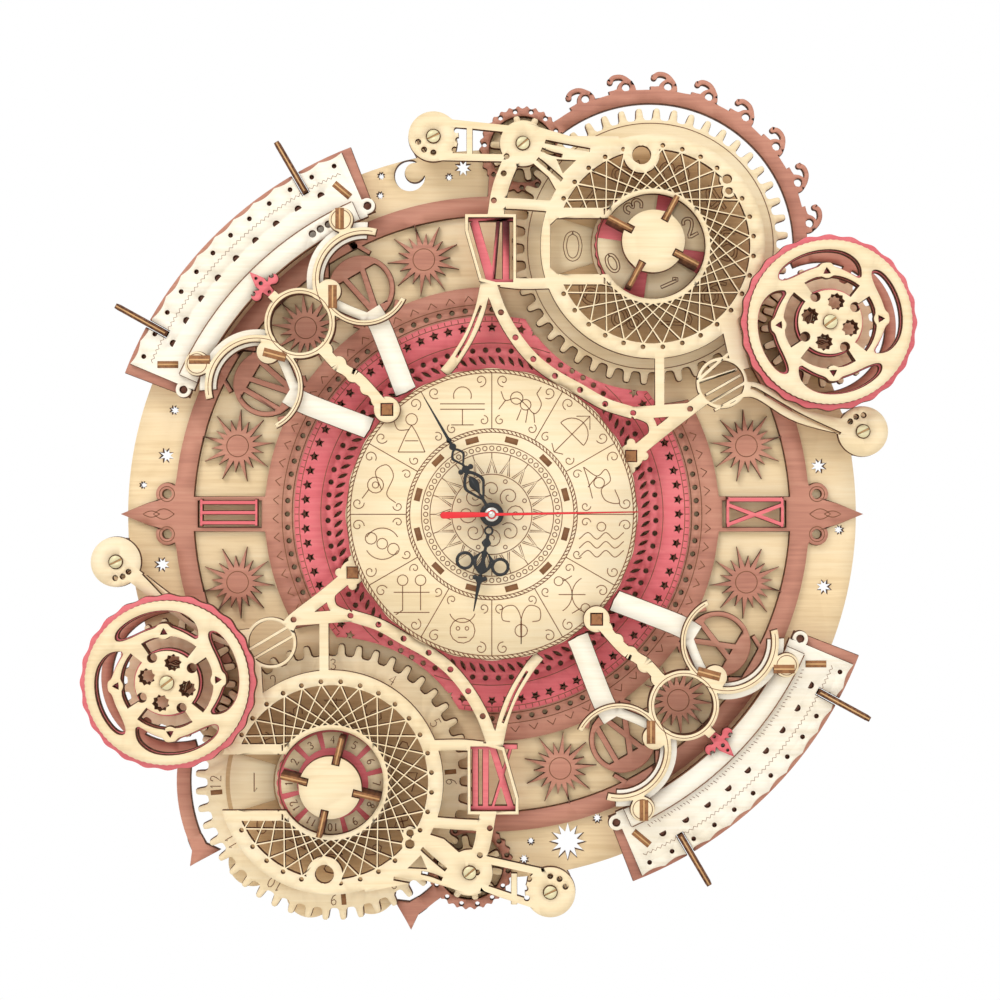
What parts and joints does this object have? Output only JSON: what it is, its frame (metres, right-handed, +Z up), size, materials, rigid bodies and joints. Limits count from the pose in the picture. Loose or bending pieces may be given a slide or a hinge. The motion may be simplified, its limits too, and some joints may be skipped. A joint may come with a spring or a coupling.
{
  "type": "wooden wall clock kit",
  "caption": "Round wall clock built from stacked laser-cut plywood plates, with hand-turned calendar gears, openwork bridges and a carved zodiac dial.",
  "frame": {"origin": "on the wall plane, at the back of the base board, behind the middle of the dial", "axes": "+Z up the wall, +Y into the wall (the face looks towards -Y), +X to the right of a viewer in front"},
  "size_m": [0.3903, 0.0346, 0.4082],
  "materials": {
    "tan_board": "laser-cut plywood, sanded, a warm tan",
    "cream_ply": "laser-cut plywood, pale cream, with burnt brown cut edges",
    "rose_ply": "laser-cut plywood stained a reddish brown",
    "coral_ply": "laser-cut plywood stained coral pink",
    "burnt_edge": "plywood seen edge on, burnt by the laser",
    "black_metal": "black lacquered sheet steel",
    "red_metal": "red lacquered wire-thin hand",
    "pin_head": "pale wooden dowel with a slotted, brassy head",
    "black_plastic": "moulded black plastic",
    "battery_wrap": "steel cell in a glossy plain green film",
    "grey_plastic": "moulded grey plastic"
  },
  "bodies": {
    "face": {"arch_backing_left": "rose_ply", "arch_backing_right": "rose_ply", "arch_cover_left": "cream_ply", "arch_cover_right": "cream_ply", "arch_fin_left_1": "burnt_edge", "arch_fin_left_2": "burnt_edge", "arch_fin_right_1": "burnt_edge", "arch_fin_right_2": "burnt_edge", "arch_plate_left": "cream_ply", "arch_plate_right": "cream_ply", "base_board": "tan_board", "battery": "battery_wrap", "bridge_lower": "cream_ply", "bridge_post_lower_far": "burnt_edge", "bridge_post_lower_near": "burnt_edge", "bridge_post_upper_far": "burnt_edge", "bridge_post_upper_near": "burnt_edge", "bridge_upper": "cream_ply", "dial_plate": "cream_ply", "dial_post_lower_left": "burnt_edge", "dial_post_lower_right": "burnt_edge", "dial_post_upper_left": "burnt_edge", "dial_post_upper_right": "burnt_edge", "gear_arbor_lower": "cream_ply", "gear_arbor_upper": "cream_ply", "numeral_iii": "coral_ply", "numeral_ix": "coral_ply", "numeral_vi": "coral_ply", "numeral_xii": "coral_ply", "planet_frame_left": "cream_ply", "planet_frame_right": "cream_ply", "planet_underframe_left": "cream_ply", "planet_underframe_right": "cream_ply", "pointer_left": "coral_ply", "pointer_right": "coral_ply", "quartz_movement": "black_plastic", "small_gear_pin_lower": "pin_head", "small_gear_pin_upper": "pin_head", "star_ring": "coral_ply", "sun_ring_frame": "rose_ply"},
    "hour_hand": {"hour_hand": "black_metal"},
    "minute_hand": {"minute_hand": "black_metal"},
    "second_hand": {"second_hand": "red_metal"},
    "setting_wheel": {"setting_wheel": "grey_plastic"},
    "date_gear": {"date_gear": "cream_ply"},
    "small_gear_upper": {"small_gear_upper": "cream_ply"},
    "handwheel_upper": {"pinion_upper": "cream_ply", "handwheel_rear_upper": "coral_ply", "handwheel_front_upper": "cream_ply", "handwheel_screw_upper": "pin_head"},
    "tens_dial": {"tens_dial": "coral_ply", "tens_dial_knob": "cream_ply"},
    "month_gear": {"month_gear": "cream_ply"},
    "small_gear_lower": {"small_gear_lower": "cream_ply"},
    "handwheel_lower": {"pinion_lower": "cream_ply", "handwheel_rear_lower": "coral_ply", "handwheel_front_lower": "cream_ply", "handwheel_screw_lower": "pin_head"},
    "month_dial": {"month_dial": "coral_ply", "month_dial_knob": "cream_ply"}
  },
  "joints": [
    {"name": "minute_hand_turn", "type": "hinge", "parent": "face", "child": "minute_hand", "pos_m": [0, -0.0305, 0], "axis": [0, 1, 0], "continuous": true},
    {"name": "hour_hand_turn", "type": "hinge", "parent": "face", "child": "hour_hand", "pos_m": [0, -0.0285, 0], "axis": [0, 1, 0], "continuous": true},
    {"name": "second_hand_turn", "type": "hinge", "parent": "face", "child": "second_hand", "pos_m": [0, -0.0325, 0], "axis": [0, 1, 0], "continuous": true},
    {"name": "setting_wheel_turn", "type": "hinge", "parent": "face", "child": "setting_wheel", "pos_m": [0.014, -0.005, -0.014], "axis": [0, 1, 0], "continuous": true},
    {"name": "date_gear_turn", "type": "hinge", "parent": "face", "child": "date_gear", "pos_m": [0.07556, -0.0075, 0.12777], "axis": [0, 1, 0], "continuous": true},
    {"name": "small_gear_upper_turn", "type": "hinge", "parent": "face", "child": "small_gear_upper", "pos_m": [0.01459, -0.0075, 0.17455], "axis": [0, 1, 0], "continuous": true},
    {"name": "handwheel_upper_turn", "type": "hinge", "parent": "face", "child": "handwheel_upper", "pos_m": [0.15709, -0.018, 0.08941], "axis": [0, 1, 0], "continuous": true},
    {"name": "tens_dial_turn", "type": "hinge", "parent": "face", "child": "tens_dial", "pos_m": [0.07556, -0.013, 0.12777], "axis": [0, 1, 0], "continuous": true},
    {"name": "month_gear_turn", "type": "hinge", "parent": "face", "child": "month_gear", "pos_m": [-0.07556, -0.0075, -0.12777], "axis": [0, 1, 0], "continuous": true},
    {"name": "small_gear_lower_turn", "type": "hinge", "parent": "face", "child": "small_gear_lower", "pos_m": [-0.01046, -0.0075, -0.16861], "axis": [0, 1, 0], "continuous": true},
    {"name": "handwheel_lower_turn", "type": "hinge", "parent": "face", "child": "handwheel_lower", "pos_m": [-0.15078, -0.018, -0.07817], "axis": [0, 1, 0], "continuous": true},
    {"name": "month_dial_turn", "type": "hinge", "parent": "face", "child": "month_dial", "pos_m": [-0.07556, -0.013, -0.12777], "axis": [0, 1, 0], "continuous": true}
  ],
  "couplings": [
    {"joint": "hour_hand_turn", "follows": "minute_hand_turn", "ratio": 0.083333},
    {"joint": "setting_wheel_turn", "follows": "minute_hand_turn", "ratio": -1},
    {"joint": "small_gear_upper_turn", "follows": "date_gear_turn", "ratio": -4.8},
    {"joint": "handwheel_upper_turn", "follows": "date_gear_turn", "ratio": -2.4},
    {"joint": "small_gear_lower_turn", "follows": "month_gear_turn", "ratio": -4.8},
    {"joint": "handwheel_lower_turn", "follows": "month_gear_turn", "ratio": -2.4}
  ]
}
